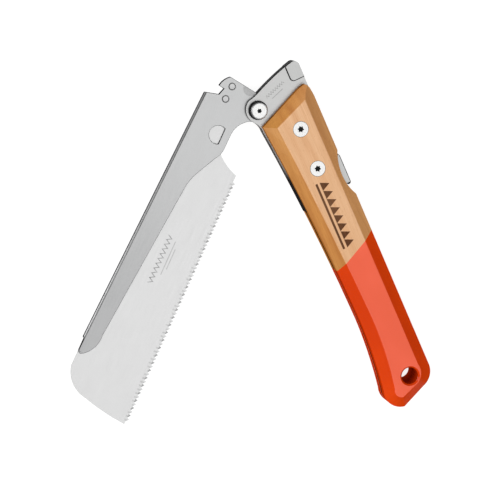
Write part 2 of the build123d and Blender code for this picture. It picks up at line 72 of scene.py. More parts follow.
# Places on the handle and on the blade are counted from the pivot, along and across. The handle lies along X.
HALF_OPEN_ANGLE = math.radians(48.75)  # from the handle's line to the tooth line, as the saw lies
ALONG_BLADE = Vector((math.cos(HALF_OPEN_ANGLE), -math.sin(HALF_OPEN_ANGLE), 0))
ACROSS_BLADE = Vector((math.sin(HALF_OPEN_ANGLE), math.cos(HALF_OPEN_ANGLE), 0))
BRUSHED_ACROSS_BRACKET = math.radians(-62)
FRONT_EDGE_LINE = math.radians(-108)  # turns the bracket's front edge onto the first axis

# Teeth
TOOTH_PITCH = 2.3 * MM
TOOTH_TIP = 6.2 * MM
TOOTH_ROOT = 4.6 * MM
FIRST_TIP = 42.07 * MM
TIP_REACH = 0.1 * MM  # how near the line of the tips a tip's corners are
GRIND_DEPTH = 0.42 * MM
BESIDE_ROOTS = 0.02 * MM  # keeps the cut behind the teeth off the corners at their roots

# The spine's folded back, the crease beside it, and the tang
BACK_START = (2.8 * MM, -31.1 * MM)
BACK_END = (152.0 * MM, -37.0 * MM)
BACK_SLOPE = math.atan2(BACK_START[1] - BACK_END[1], BACK_END[0] - BACK_START[0])
BACK_LINE = BACK_START[0] * math.sin(BACK_SLOPE) + BACK_START[1] * math.cos(BACK_SLOPE)
CREASE = ((1.0 * MM, 0.0), (1.3 * MM, 0.16 * MM), (1.6 * MM, 0.0))  # distance from the back, depth
CREASE_LINE = BACK_LINE + CREASE[1][0]
BRACKET_SHADOW_SPOT = (-9.1 * MM, -8.3 * MM)  # a round darker patch on the tang, a painted shadow of the bracket's edge
BRACKET_SHADOW_SPOT_RADIUS = 4.3 * MM
TANG_RIVETS = ((-6.0 * MM, -18.2 * MM), (1.6 * MM, -18.7 * MM))
RIVET_PROFILE = ((0, 0.05), (0.8, 0.03), (1.25, 0), (1.52, 0), (1.8, 0.17), (1.9, 0.15))  # radius, depth, mm

# The wood's sanded corner, and the lock lever's cap and tail pad
WOOD_CORNER = ((-1.5, 24.2), (-2.6, 28.8), (-1.5, 30.0), (0.5, 30.8), (6.0, 31.5))  # along, across, mm
CAP_CORNER_RADIUS = 2.2 * MM
CAP_LOW, CAP_HIGH = (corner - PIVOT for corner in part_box("lever_head_front"))
CAP_CORNER = (CAP_HIGH.x - CAP_CORNER_RADIUS, CAP_LOW.y + CAP_CORNER_RADIUS)
# width of the painted shadow line round the lever's cap
CAP_SHADOW_LINE_WIDTH = 0.55 * MM
TAIL_LOW, TAIL_HIGH = (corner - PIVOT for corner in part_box("lever_tail_front"))

# The wood's slot for the teeth: where it starts along the handle, and its bottom across it
SLOT_START = 54.9 * MM
SLOT_BOTTOM = 12.5 * MM
SLOT_HALF_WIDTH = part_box("bracket_plate_front")[0].z + 0.02 * MM

# Screws and turned hardware
HEAD_RADIUS = 4.4 * MM
HEAD_RIM_RADIUS = 4.2 * MM  # past it a head is dark with painted shade
SCREW_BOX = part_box("handle_screws")
SCREW_ENDS = (SCREW_BOX[0].x + HEAD_RADIUS, SCREW_BOX[1].x - HEAD_RADIUS)
SCREW_LINE = (SCREW_BOX[0].y + SCREW_BOX[1].y) / 2
SCREW_AXES = [Vector((x, SCREW_LINE, 0)) for x in SCREW_ENDS]
PIVOT_HEAD_TOP = 6.9 * MM
TURNING_PITCH = 0.22 * MM  # of the fine rings that a lathe leaves
TURNING_STEPS = 48  # sides of a turned solid

# Broken edges
FLAT_ANGLE = math.radians(0.5)  # faces that lean less than this are joined first
SHARP_ANGLE = math.radians(50)  # edges sharper than this are broken
ARRIS_WIDTHS = {  # mm
    "bracket_plate_front": 0.45,
    "bracket_plate_back": 0.45,
    "lever_head_front": 0.50,
    "lever_head_back": 0.50,
    "lever_tail_front": 0.60,
    "lever_tail_back": 0.60,
    "lever_bar": 0.20,
    "handle_screws": 0.14,
    "barrel_nuts": 0.20,
    "pivot_screw": 0.14,
    "pivot_nut": 0.30,
    "pivot_collar": 0.10,
    "pivot_washer_front": 0.12,
    "pivot_washer_back": 0.12,
}
SPINE_ARRIS = 0.20  # mm

# Tolerances of the mesh work
WELD = 0.001 * MM  # vertices nearer to each other than this are one
ON_CUT = 0.0005 * MM  # a vertex nearer to a cut than this is on it
ON_FACE = 0.01 * MM  # a vertex nearer to a sheet's face than this is on it

# Stage, light and camera
FLOOR_HALF_SIDE = 4.0
FULL_SKY = 0.6  # the sine of the height from which the sky is at its brightest
CAMERA_AIM = Vector((-13.7, 26.4, 0)) * MM  # from the middle of the saw
CAMERA_BACK = Vector((-0.2431, -0.1360, 0.9604)).normalized()  # from the aim to the lens
CAMERA_UP = Vector((-0.8867, 0.4324, -0.1633))
CAMERA_DISTANCE = 1.215
CAMERA_LENS = 158.35  # mm
CAMERA_SENSOR = 36  # mm
CAMERA_CLIP = (0.05, 20)


def on_blade(along, across):
    """A place given in the blade's own frame, from the pivot."""
    return PIVOT + along * ALONG_BLADE + across * ACROSS_BLADE


def blade_place(point):
    """Along and across the blade, from the pivot."""
    reach = point - PIVOT
    return reach.dot(ALONG_BLADE), reach.dot(ACROSS_BLADE)


def grey(level):
    """A neutral colour."""
    return (level, level, level)


def shade(colour, factor):
    """The same colour, darker or lighter."""
    return tuple(min(1.0, channel * factor) for channel in colour)


# ---------------------------------------------------------------- node building

class Shader:
    """A material under construction: a Principled shader and short names for the nodes round it."""

    def __init__(self, name):
        self.material = bpy.data.materials.new(name)
        self.material.use_nodes = True
        self.nodes = self.material.node_tree.nodes
        self.links = self.material.node_tree.links
        self.principled = self.nodes["Principled BSDF"]
        self.coordinates = self.nodes.new("ShaderNodeTexCoord")
        self.geometry = self.nodes.new("ShaderNodeNewGeometry")

    def plug(self, socket, value):
        """Links a node's output to a socket, or sets the socket to a plain number or colour."""
        if isinstance(value, bpy.types.NodeSocket):
            self.links.new(value, socket)
        elif isinstance(value, (tuple, list)) and len(value) == 3 and socket.type == "RGBA":
            socket.default_value = (*value, 1)
        else:
            socket.default_value = value

    def set(self, **values):
        """Principled inputs by name, with underscores for spaces."""
        for name, value in values.items():
            self.plug(self.principled.inputs[name.replace("_", " ")], value)

    # Places

    def place(self, scale=(1, 1, 1), turn=0.0, offset=(0, 0, 0)):
        """The object's own coordinates, turned about Z, moved and then scaled."""
        turned = self.nodes.new("ShaderNodeMapping")
        turned.inputs["Rotation"].default_value = (0, 0, turn)
        turned.inputs["Location"].default_value = offset
        self.links.new(self.coordinates.outputs["Object"], turned.inputs["Vector"])
        scaled = self.nodes.new("ShaderNodeMapping")
        scaled.inputs["Scale"].default_value = scale
        self.links.new(turned.outputs["Vector"], scaled.inputs["Vector"])
        return scaled.outputs["Vector"]

    def axis(self, vector, name):
        """One coordinate of a vector, by its letter."""
        node = self.nodes.new("ShaderNodeSeparateXYZ")
        self.links.new(vector, node.inputs["Vector"])
        return node.outputs[name]

    def from_pivot(self, turn=0.0):
        """Two distances from the pivot: along a line turned from the handle's, and across it."""
        here = self.place(turn=turn, offset=-(Matrix.Rotation(turn, 3, "Z") @ PIVOT))
        return self.axis(here, "X"), self.axis(here, "Y")

    def height(self):
        """Height above the plane that the blade lies in."""
        return self.axis(self.place(), "Z")

    def radius(self, centres):
        """Distance from the nearest of some upright axes."""
        nearest = None
        for centre in centres:
            here = self.place((1, 1, 0), offset=(-centre.x, -centre.y, 0))
            length = self.nodes.new("ShaderNodeVectorMath")
            length.operation = "LENGTH"
            self.links.new(here, length.inputs[0])
            distance = length.outputs["Value"]
            nearest = distance if nearest is None else self.math("MINIMUM", nearest, distance)
        return nearest

    def upright(self):
        """0 on a surface that faces sideways, 1 on one that faces up or down."""
        return self.math("ABSOLUTE", self.axis(self.geometry.outputs["Normal"], "Z"))

    # Arithmetic and masks

    def math(self, operation, a, b=0.0):
        """One arithmetic step on one or two values."""
        node = self.nodes.new("ShaderNodeMath")
        node.operation = operation
        self.plug(node.inputs[0], a)
        self.plug(node.inputs[1], b)
        return node.outputs["Value"]

    def minus(self, a, b):
        """The difference of two values."""
        return self.math("SUBTRACT", a, b)

    def apart(self, a, b):
        """How far two values are apart, either way."""
        return self.math("ABSOLUTE", self.minus(a, b))

    def every(self, *masks):
        """1 where all the masks are 1."""
        product, *others = masks
        for mask in others:
            product = self.math("MULTIPLY", product, mask)
        return product

    def ramp(self, value, low, high, to_low=0.0, to_high=1.0):
        """Maps low..high to to_low..to_high with a smooth step."""
        node = self.nodes.new("ShaderNodeMapRange")
        node.interpolation_type = "SMOOTHSTEP"
        self.links.new(value, node.inputs["Value"])
        node.inputs["From Min"].default_value = low
        node.inputs["From Max"].default_value = high
        node.inputs["To Min"].default_value = to_low
        node.inputs["To Max"].default_value = to_high
        return node.outputs["Result"]

    def below(self, value, low, high):
        """1 up to the low value, falling smoothly to 0 at the high one."""
        return self.ramp(value, low, high, 1.0, 0.0)

    # Patterns

    def noise(self, vector, detail=2.0, roughness=0.5, distortion=0.0):
        """Soft noise. How fine it is comes from the scale of its coordinates."""
        node = self.nodes.new("ShaderNodeTexNoise")
        self.links.new(vector, node.inputs["Vector"])
        node.inputs["Scale"].default_value = 1.0
        node.inputs["Detail"].default_value = detail
        node.inputs["Roughness"].default_value = roughness
        node.inputs["Distortion"].default_value = distortion
        return node.outputs["Fac"]

    def bump(self, height, strength, distance, under=None):
        """Relief from a height, on top of another relief if there is one."""
        node = self.nodes.new("ShaderNodeBump")
        node.inputs["Strength"].default_value = strength
        node.inputs["Distance"].default_value = distance
        self.links.new(height, node.inputs["Height"])
        if under is not None:
            self.links.new(under, node.inputs["Normal"])
        return node.outputs["Normal"]

    def mix(self, share, a, b):
        """Colour a where share is 0, colour b where it is 1."""
        node = self.nodes.new("ShaderNodeMix")
        node.data_type = "RGBA"
        self.plug(node.inputs["Factor"], share)
        self.plug(node.inputs["A"], a)
        self.plug(node.inputs["B"], b)
        return node.outputs["Result"]

    def layers(self, colour, *coats):
        """Lays coats over a colour.

        Each coat is a pattern, the values at which it begins and is full, its full share and its colour.
        """
        for pattern, begin, full, share, coat_colour in coats:
            colour = self.mix(self.ramp(pattern, begin, full, 0.0, share), colour, coat_colour)
        return colour

    def handled(self, colour, stained):
        """A metal's colour with small marks and faint stains from handling, and the pattern of the marks."""
        marks = self.noise(self.place((1300, 1300, 1300)), 4.0, 0.6)
        stains = self.noise(self.place((260, 260, 260)))
        face = self.layers(
            colour,
            (marks, 0.5, 0.8, 0.25, shade(colour, 0.6)),
            (stains, 0.55, 0.8, 0.3, shade(colour, stained)),
        )
        return face, marks

    # Drawn marks

    def stroke(self, u, v, start, end, middle, width, soft=0.12 * MM):
        """1 inside a straight stroke that runs along u, with softened edges."""
        begun = self.ramp(u, start - soft, start + soft)
        not_ended = self.below(u, end - soft, end + soft)
        within = self.below(self.apart(v, middle), width / 2 - soft, width / 2 + soft)
        return self.every(begun, not_ended, within)

    def climb(self, u, start, height, pitch):
        """The height over its foot of a zigzag line like a row of saw teeth."""
        from_gullet = self.math("PINGPONG", self.minus(u, start), pitch / 2)
        return self.math("MULTIPLY", from_gullet, 2 * height / pitch)

    def tooth_row(self, u, v, start, end, foot, height, pitch, width):
        """1 on a zigzag line like a row of saw teeth."""
        line = self.climb(u, start, height, pitch)
        return self.stroke(u, self.minus(v, line), start, end, foot, width)

    def filled_teeth(self, u, v, start, end, foot, height, pitch, soft=0.12 * MM):
        """1 inside a row of solid triangles that stand on one line."""
        under_line = self.minus(self.climb(u, start, height, pitch), self.minus(v, foot))
        within = self.stroke(u, v, start, end, foot + height / 2, height)
        return self.every(self.ramp(under_line, -soft, soft), within)

    def cap_shadow_line(self, along, across, soft=0.06 * MM):
        """1 along the outline of the lock lever's cap, round its inner corner, 0 elsewhere: where a painted shadow
        line is drawn.
        """
        past_end = self.math("MAXIMUM", self.minus(along, CAP_CORNER[0]), 0.0)
        past_side = self.math("MAXIMUM", self.minus(CAP_CORNER[1], across), 0.0)
        squares = self.math("ADD", self.math("POWER", past_end, 2.0), self.math("POWER", past_side, 2.0))
        off_line = self.apart(self.math("SQRT", squares), CAP_CORNER_RADIUS)
        return self.below(off_line, CAP_SHADOW_LINE_WIDTH / 2 - soft, CAP_SHADOW_LINE_WIDTH / 2 + soft)


class Steel(Shader):
    """Brushed sheet steel. Its brush lines run one way; its rims and cut sides get other colours, among them
    painted shade and painted highlight.
    """

    def __init__(self, name, colour, turn, roughness, grain=0.5, blotch=0.06):
        super().__init__(name)
        self.blackened = 0.0
        self.lines = self.noise(self.place((60, 5200, 60), turn), 4.0, 0.7)
        broad = self.noise(self.place((14, 420, 14), turn), 3.0, 0.6)
        cloud = self.noise(self.place((38, 55, 55), turn), 3.0, 0.6)
        dark, light = shade(colour, 1 - 2.2 * blotch), shade(colour, 1 + 1.4 * blotch)
        self.face = self.layers(
            dark,
            (self.lines, 0.3, 0.7, 1.0, light),
            (broad, 0.25, 0.8, 0.6, colour),
            (cloud, 0.55, 0.8, 0.35, dark),
        )
        rough = self.ramp(self.lines, 0.25, 0.8, roughness - 0.05, roughness + 0.11)
        self.set(Roughness=rough, Normal=self.bump(self.lines, grain * 0.2, 0.05 * MM))
        self.set(Specular_IOR_Level=0.0)

    def mark(self, mask, colour, strength=0.85):
        """A mark on the faces in another colour, patchy like etching."""
        patches = self.noise(self.place((900, 900, 900)))
        patchy = self.ramp(patches, 0.2, 0.7, 0.6 * strength, strength)
        self.face = self.mix(self.every(mask, patchy), self.face, colour)

    def rims(self):
        """1 on chamfers and cut sides, 0 on the faces."""
        return self.below(self.upright(), 0.90, 0.985)

    def sides(self):
        """1 on cut sides, 0 on chamfers and faces."""
        return self.below(self.upright(), 0.20, 0.60)

    def tint(self, mask, colour):
        """Another colour laid over the metal's face, where the mask is 1."""
        self.face = self.mix(mask, self.face, colour)

    def blacken_oxide_and_shade(self, *masks):
        """Black in place of bare metal, where all the masks are 1: partly black oxide on cut sides, otherwise
        painted shade and dark reflection.
        """
        self.blackened = self.math("MAXIMUM", self.blackened, self.every(*masks))

    def finish(self):
        """The material, with its black, partly oxide and partly painted shade, laid over the face."""
        # the black of oxide and of painted shade
        oxide = self.mix(self.ramp(self.lines, 0.3, 0.7), (0.010, 0.010, 0.011), (0.020, 0.020, 0.022))
        self.set(Base_Color=self.mix(self.blackened, self.face, oxide))
        self.set(Metallic=self.minus(1.0, self.blackened))
        return self.material


# ---------------------------------------------------------------- materials

def beech():
    """Lacquered beech: long soft growth bands, short brown flecks, darker bevels, sideways faces darkened as
    painted shade, and a burnt-in tooth row.
    """
    s = Shader("beech")
    bands = s.noise(s.place((9, 160, 110), offset=(0, 4 * MM, 0)), 3.0, 0.55, 0.5)
    fibres = s.noise(s.place((70, 2600, 2600)), 3.0, 0.6)
    flecks = s.noise(s.place((420, 3800, 3800)), 1.0, 0.4)
    clouds = s.noise(s.place((30, 60, 60)))
    along, across = s.from_pivot()
    height = s.height()

    face = s.layers(
        (0.66, 0.365, 0.190),
        (bands, 0.32, 0.7, 1.0, (0.75, 0.465, 0.270)),
        (clouds, 0.35, 0.75, 0.45, (0.68, 0.39, 0.205)),
        (fibres, 0.35, 0.7, 0.30, (0.50, 0.26, 0.115)),
        (flecks, 0.66, 0.74, 0.42, (0.33, 0.145, 0.055)),
    )
    bevel = s.layers(
        (0.36, 0.118, 0.010),
        (bands, 0.3, 0.72, 1.0, (0.53, 0.215, 0.026)),
        (clouds, 0.4, 0.7, 0.5, (0.42, 0.175, 0.016)),
        (fibres, 0.3, 0.75, 0.45, (0.30, 0.090, 0.008)),
        (flecks, 0.66, 0.74, 0.30, (0.20, 0.06, 0.010)),
    )
    # painted shade: faces that turn sideways get a dark brown
    side = (0.24, 0.075, 0.008)
    colour = s.mix(s.ramp(s.upright(), 0.80, 0.97, 0.85, 0.0), face, bevel)
    colour = s.mix(s.ramp(s.upright(), 0.1, 0.4, 0.6, 0.0), colour, side)

    teeth = s.filled_teeth(
        along, across, start=50 * MM, end=90 * MM, foot=14.2 * MM, height=5 * MM, pitch=5 * MM
    )
    line = s.stroke(along, across, start=50 * MM, end=90 * MM, middle=12.2 * MM, width=1.3 * MM)
    on_face = s.ramp(height, FRONT_FACE - 0.4 * MM, FRONT_FACE - 0.2 * MM)
    burnt = s.every(s.math("MAXIMUM", teeth, line), on_face)
    char = s.mix(s.ramp(fibres, 0.35, 0.7), (0.055, 0.016, 0.003), (0.12, 0.038, 0.008))
    colour = s.mix(s.every(burnt, s.ramp(clouds, 0.2, 0.8, 0.86, 0.98)), colour, char)

    slot = s.every(
        s.math("LESS_THAN", s.math("ABSOLUTE", height), SLOT_HALF_WIDTH),
        s.math("GREATER_THAN", along, SLOT_START),
        s.math("LESS_THAN", across, SLOT_BOTTOM),
    )
    unlit = s.mix(s.ramp(fibres, 0.35, 0.7), (0.030, 0.008, 0.002), (0.060, 0.018, 0.004))
    colour = s.mix(slot, colour, unlit)

    relief = s.bump(s.math("MULTIPLY", burnt, -1.0), 0.6, 0.2 * MM, under=s.bump(fibres, 0.10, 0.2 * MM))
    s.set(Base_Color=colour, Roughness=s.ramp(fibres, 0.3, 0.8, 0.40, 0.56), Normal=relief)
    s.set(Specular_IOR_Level=0.0, Coat_Weight=s.ramp(s.upright(), 0.25, 0.6, 0.0, 0.16))
    s.set(Coat_Roughness=0.28, Coat_IOR=1.5)
    return s.material


def orange_dip():
    """Thick glossy dip with a faint orange peel. Its flat faces are paler and pinker than its bevels, a painted
    sheen; its sideways faces and the hole's wall are darker, a painted shade.
    """
    s = Shader("orange_dip")
    peel = s.noise(s.place((260, 420, 420)), 2.0, 0.45)
    waves = s.noise(s.place((22, 40, 40)))
    scuffs = s.noise(s.place((140, 1500, 1500)), 4.0, 0.65)

    bevel = s.mix(s.ramp(waves, 0.3, 0.75), (0.55, 0.036, 0.0005), (0.64, 0.047, 0.0005))
    # painted sheen: the flat faces get a paler, pinker orange than the bevels
    face = s.mix(s.ramp(waves, 0.3, 0.75), (0.74, 0.105, 0.048), (0.83, 0.128, 0.066))
    # painted shade: faces that turn sideways, and the hole's wall, get a dark red
    side = (0.27, 0.012, 0.001)
    colour = s.mix(s.ramp(s.upright(), 0.90, 0.995), bevel, face)
    colour = s.mix(s.ramp(s.upright(), 0.1, 0.4, 0.6, 0.0), colour, side)
    colour = s.layers(colour, (scuffs, 0.64, 0.8, 0.30, (0.80, 0.14, 0.05)))

    s.set(Base_Color=colour, Roughness=s.ramp(scuffs, 0.45, 0.8, 0.30, 0.46))
    s.set(Normal=s.bump(peel, 0.08, 0.4 * MM))
    s.set(Specular_IOR_Level=0.0, Coat_Weight=s.ramp(s.upright(), 0.25, 0.6, 0.0, 0.22))
    s.set(Coat_Roughness=0.16, Coat_IOR=1.5)
    return s.material


def plate_steel():
    """The bracket: bright brushed face, a chamfer made bright as a painted highlight, a black cut edge of oxide
    and painted shade, an etched tooth row, a painted shadow round the lever's cap and a dark strip beside the
    wood, its painted shadow.
    """
    s = Steel("plate_steel", (0.365, 0.365, 0.362), BRUSHED_ACROSS_BRACKET, 0.36)
    u, v = s.from_pivot(FRONT_EDGE_LINE)
    row = s.tooth_row(
        u, v, start=8 * MM, end=20.8 * MM, foot=1.2 * MM, height=1.5 * MM, pitch=1.6 * MM, width=0.45 * MM
    )
    line = s.stroke(u, v, start=10 * MM, end=18 * MM, middle=-0.7 * MM, width=0.4 * MM)
    s.mark(row, grey(0.10))
    s.mark(line, grey(0.16), 0.7)
    # painted highlight: the chamfers get a far brighter metal than the face
    s.tint(s.rims(), grey(0.85))
    # cut sides: black oxide, with painted shade and dark reflection
    s.blacken_oxide_and_shade(s.sides())

    along, across = s.from_pivot()
    # painted shadow line round the lever's cap
    s.blacken_oxide_and_shade(s.cap_shadow_line(along, across))
    # painted shadow of the wood: a darker strip on the bracket beside it, black further along
    belly_shadow = s.every(s.ramp(along, 11 * MM, 18 * MM), s.below(across, 4 * MM, 6 * MM))
    s.tint(belly_shadow, (0.24, 0.235, 0.23))
    s.blacken_oxide_and_shade(belly_shadow, s.ramp(along, 34 * MM, 44 * MM))
    return s.finish()


def spine_steel():
    """The folded sheet and the tang: satin grey with dark rims and a dark crease line, both painted shade, and a
    little darker towards the toe.
    """
    s = Steel("spine_steel", (0.365, 0.367, 0.368), HALF_OPEN_ANGLE, 0.38, grain=0.3, blotch=0.045)
    along = s.from_pivot(HALF_OPEN_ANGLE)[0]
    s.tint(s.ramp(along, 15 * MM, 130 * MM), (0.290, 0.291, 0.293))
    # painted shadow of the bracket's edge: a dark round patch on the tang
    from_shadow_spot = s.radius([on_blade(*BRACKET_SHADOW_SPOT)])
    s.mark(s.below(from_shadow_spot, BRACKET_SHADOW_SPOT_RADIUS - 0.4 * MM, BRACKET_SHADOW_SPOT_RADIUS), grey(0.24), 0.8)

    along_back, from_back = s.from_pivot(HALF_OPEN_ANGLE + BACK_SLOPE)
    off_fold = s.ramp(from_back, BACK_LINE + 0.9 * MM, BACK_LINE + 1.2 * MM)
    past_fold = s.ramp(along_back, BACK_END[0], BACK_END[0] + 1 * MM)
    # painted shade and dark reflection: rims past the fold, the cut sides and the very edge of the back
    s.blacken_oxide_and_shade(s.rims(), s.math("MAXIMUM", off_fold, past_fold))
    s.blacken_oxide_and_shade(s.sides())
    s.blacken_oxide_and_shade(s.below(from_back, BACK_LINE + 0.1 * MM, BACK_LINE + 0.3 * MM))
    # painted shade in the crease beside the fold
    s.mark(s.below(s.apart(from_back, CREASE_LINE), 0, 0.3 * MM), grey(0.11), 0.8)
    return s.finish()


def blade_steel():
    """The blade: bright and fine-grained, with ground teeth, an etched tooth row and two lines under it."""
    s = Steel("blade_steel", grey(0.478), HALF_OPEN_ANGLE, 0.42, blotch=0.03)
    along, across = s.from_pivot(HALF_OPEN_ANGLE)
    from_gullet = s.math("PINGPONG", s.minus(along, FIRST_TIP + 0.4 * TOOTH_PITCH), TOOTH_PITCH / 2)
    streak_length = s.ramp(s.noise(s.place((260, 260, 260))), 0.35, 0.65, 0.4 * MM, 1.7 * MM)
    streaks = s.every(
        s.below(from_gullet, 0.15 * MM, 0.75 * MM),
        s.math("GREATER_THAN", across, s.minus(TOOTH_ROOT, streak_length)),
        s.ramp(along, FIRST_TIP - TOOTH_PITCH, FIRST_TIP),
    )
    s.mark(streaks, grey(0.28), 0.6)
    row = s.tooth_row(
        along, across,
        start=82 * MM, end=110.5 * MM, foot=-16.4 * MM, height=2.6 * MM, pitch=2.85 * MM, width=0.9 * MM,
    )
    s.mark(row, grey(0.13))
    for start, end, middle in ((84 * MM, 104 * MM, -11.3 * MM), (88 * MM, 100 * MM, -9.6 * MM)):
        s.mark(s.stroke(along, across, start, end, middle, width=0.5 * MM), grey(0.2), 0.6)
    s.tint(s.rims(), grey(0.26))
    return s.finish()


def lever_steel():
    """The lock lever: satin, with dark rims and outlines round its caps and pads, all painted shade."""
    s = Steel("lever_steel", (0.375, 0.377, 0.373), 0.0, 0.40, blotch=0.05)
    along, across = s.from_pivot()
    # painted shade on the rims, painted shadow lines round the cap and along the tail pad's edges
    s.blacken_oxide_and_shade(s.rims())
    s.blacken_oxide_and_shade(s.cap_shadow_line(along, across))
    s.blacken_oxide_and_shade(s.stroke(along, across, TAIL_LOW.x, TAIL_HIGH.x, TAIL_HIGH.y - 0.1 * MM, width=0.5 * MM))
    s.blacken_oxide_and_shade(s.stroke(across, along, TAIL_LOW.y, TAIL_HIGH.y, TAIL_HIGH.x - 0.4 * MM, width=1.3 * MM))
    return s.finish()


def rivet_steel():
    """Peened rivets of the same grey as the tang, in a dark ring of painted shade."""
    s = Steel("rivet_steel", (0.355, 0.355, 0.356), HALF_OPEN_ANGLE, 0.34)
    # painted shade on the sloping and upright faces of the ring round each rivet
    s.blacken_oxide_and_shade(s.rims())
    return s.finish()


def turned_metal(name, colour, roughness, centres, top=None, rim_radius=None):
    """Lathe-turned hardware with fine rings. Below the top of its head it is dark, and so is its rim: painted
    shade in the recess, on the head's side and round its edge.
    """
    s = Shader(name)
    face, marks = s.handled(colour, 0.85)
    radius = s.radius(centres)
    rings = s.math("SINE", s.math("MULTIPLY", radius, 2 * math.pi / TURNING_PITCH))
    # painted shade: past the rim radius and below the top of the head
    painted_shade = 0.0
    if rim_radius is not None:
        painted_shade = s.ramp(radius, rim_radius - 0.05 * MM, rim_radius + 0.05 * MM)
    if top is not None:
        from_middle = s.math("ABSOLUTE", s.height())
        painted_shade = s.math("MAXIMUM", painted_shade, s.below(from_middle, top - 0.35 * MM, top - 0.12 * MM))
    s.set(Base_Color=s.mix(painted_shade, face, (0.022, 0.023, 0.025)), Metallic=s.minus(1.0, painted_shade))
    s.set(Roughness=s.ramp(marks, 0.3, 0.8, roughness, roughness + 0.14))
    s.set(Normal=s.bump(rings, 0.05, 0.02 * MM))
    s.set(Specular_IOR_Level=0.0)
    return s.material


def plain_metal(name, colour, roughness, metallic=1.0):
    """Plated or blackened hardware with small handling marks."""
    s = Shader(name)
    face, marks = s.handled(colour, 0.8)
    s.set(Base_Color=face, Metallic=metallic, Roughness=s.ramp(marks, 0.3, 0.8, roughness, roughness + 0.12))
    s.set(Normal=s.bump(marks, 0.05, 0.03 * MM), Specular_IOR_Level=0.0)
    return s.material


BRIGHT = (0.50, 0.50, 0.495)

MATERIALS = {  # by the record's own slots
    "beech": beech(),
    "orange_dip": orange_dip(),
    "plate_steel": plate_steel(),
    "spine_steel": spine_steel(),
    "blade_steel": blade_steel(),
    "lever_steel": lever_steel(),
    "screw_steel": turned_metal("screw_steel", BRIGHT, 0.30, SCREW_AXES, FRONT_FACE, HEAD_RIM_RADIUS),
    "dark_steel": plain_metal("dark_steel", (0.018, 0.018, 0.019), 0.35, 0.0),
    "pin_steel": plain_metal("pin_steel", grey(0.55), 0.28),
    "bronze": plain_metal("bronze", (0.50, 0.33, 0.13), 0.35),
}
PIVOT_MATERIALS = {
    "pivot_screw": turned_metal("pivot_steel", BRIGHT, 0.28, [PIVOT], PIVOT_HEAD_TOP),
    "pivot_nut": turned_metal("nut_steel", BRIGHT, 0.30, [PIVOT]),
    "pivot_collar": turned_metal("collar_steel", (0.36, 0.36, 0.362), 0.22, [PIVOT]),
}


def dress_cad_nodes():
    """Gives every CAD node its procedural material. Three pieces of the pivot have one of their own."""
    for part in frame["record"]["subparts"]:
        name = part["node"]
        materials = frame["nodes"][name].data.materials
        materials.clear()
        materials.append(PIVOT_MATERIALS.get(name, MATERIALS[part["material_slot"]]))


# ---------------------------------------------------------------- detailed pieces

def soften(piece, width):
    """Joins a piece's flat triangles, then breaks its sharp edges with a small even bevel, as modifiers."""
    flatten = piece.modifiers.new("flat_faces", "DECIMATE")
    flatten.decimate_type = "DISSOLVE"
    flatten.angle_limit = FLAT_ANGLE
    bevel = piece.modifiers.new("arris", "BEVEL")
    bevel.width = width
    bevel.segments = 1
    bevel.limit_method = "ANGLE"
    bevel.angle_limit = SHARP_ANGLE
    bevel.use_clamp_overlap = False
    bevel.loop_slide = False


def break_cad_edges():
    """The small chamfers and rounded rims of the hardware."""
    for name, width in ARRIS_WIDTHS.items():
        soften(frame["nodes"][name], width * MM)


def mesh_of(node):
    """The CAD node's own mesh as a bmesh to be worked on. The node itself stays as it is."""
    mesh = bmesh.new()
    mesh.from_mesh(frame["nodes"][node].data)
    bmesh.ops.remove_doubles(mesh, verts=mesh.verts, dist=WELD)
    return mesh


def score(mesh, point, normal):
    """Cuts new edges into the mesh along a plane, and returns the vertices on them."""
    parts = mesh.verts[:] + mesh.edges[:] + mesh.faces[:]
    cut = bmesh.ops.bisect_plane(mesh, geom=parts, plane_co=point, plane_no=normal, dist=ON_CUT)
    return [part for part in cut["geom_cut"] if isinstance(part, bmesh.types.BMVert)]


def cut_away(mesh, point, outward):
    """Takes away all that is past a plane, and closes the solid there with a flat face."""
    parts = mesh.verts[:] + mesh.edges[:] + mesh.faces[:]
    bmesh.ops.bisect_plane(mesh, geom=parts, plane_co=point, plane_no=outward, clear_outer=True)
    bmesh.ops.holes_fill(mesh, edges=[edge for edge in mesh.edges if edge.is_boundary], sides=0)


def make_piece(name, mesh, body, slot, material, *nodes):
    """A finished piece from a bmesh, which rides on a body and stands for some CAD nodes."""
    data = bpy.data.meshes.new(name)
    bmesh.ops.recalc_face_normals(mesh, faces=mesh.faces)
    mesh.to_mesh(data)
    mesh.free()
    data.materials.append(material)
    piece = bpy.data.objects.new(name, data)
    bpy.context.scene.collection.objects.link(piece)
    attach(piece, body)
    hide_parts(*nodes)
    return piece


def add_turning(mesh, profile, centre):
    """Adds a closed turned solid round an upright axis. The profile begins and ends on the axis."""
    rings = []
    for radius, height in profile[1:-1]:
        ring = []
        for step in range(TURNING_STEPS):
            angle = 2 * math.pi * step / TURNING_STEPS
            spoke = Vector((math.cos(angle) * radius, math.sin(angle) * radius, height))
            ring.append(mesh.verts.new(centre + spoke))
        rings.append(ring)
    for lower, upper in zip(rings, rings[1:]):
        for step in range(TURNING_STEPS):
            after = (step + 1) % TURNING_STEPS
            mesh.faces.new((lower[step], lower[after], upper[after], upper[step]))
    for ring, (_, height) in ((rings[0], profile[0]), (rings[-1], profile[-1])):
        pole = mesh.verts.new(centre + Vector((0, 0, height)))
        for step in range(TURNING_STEPS):
            mesh.faces.new((ring[step], ring[(step + 1) % TURNING_STEPS], pole))


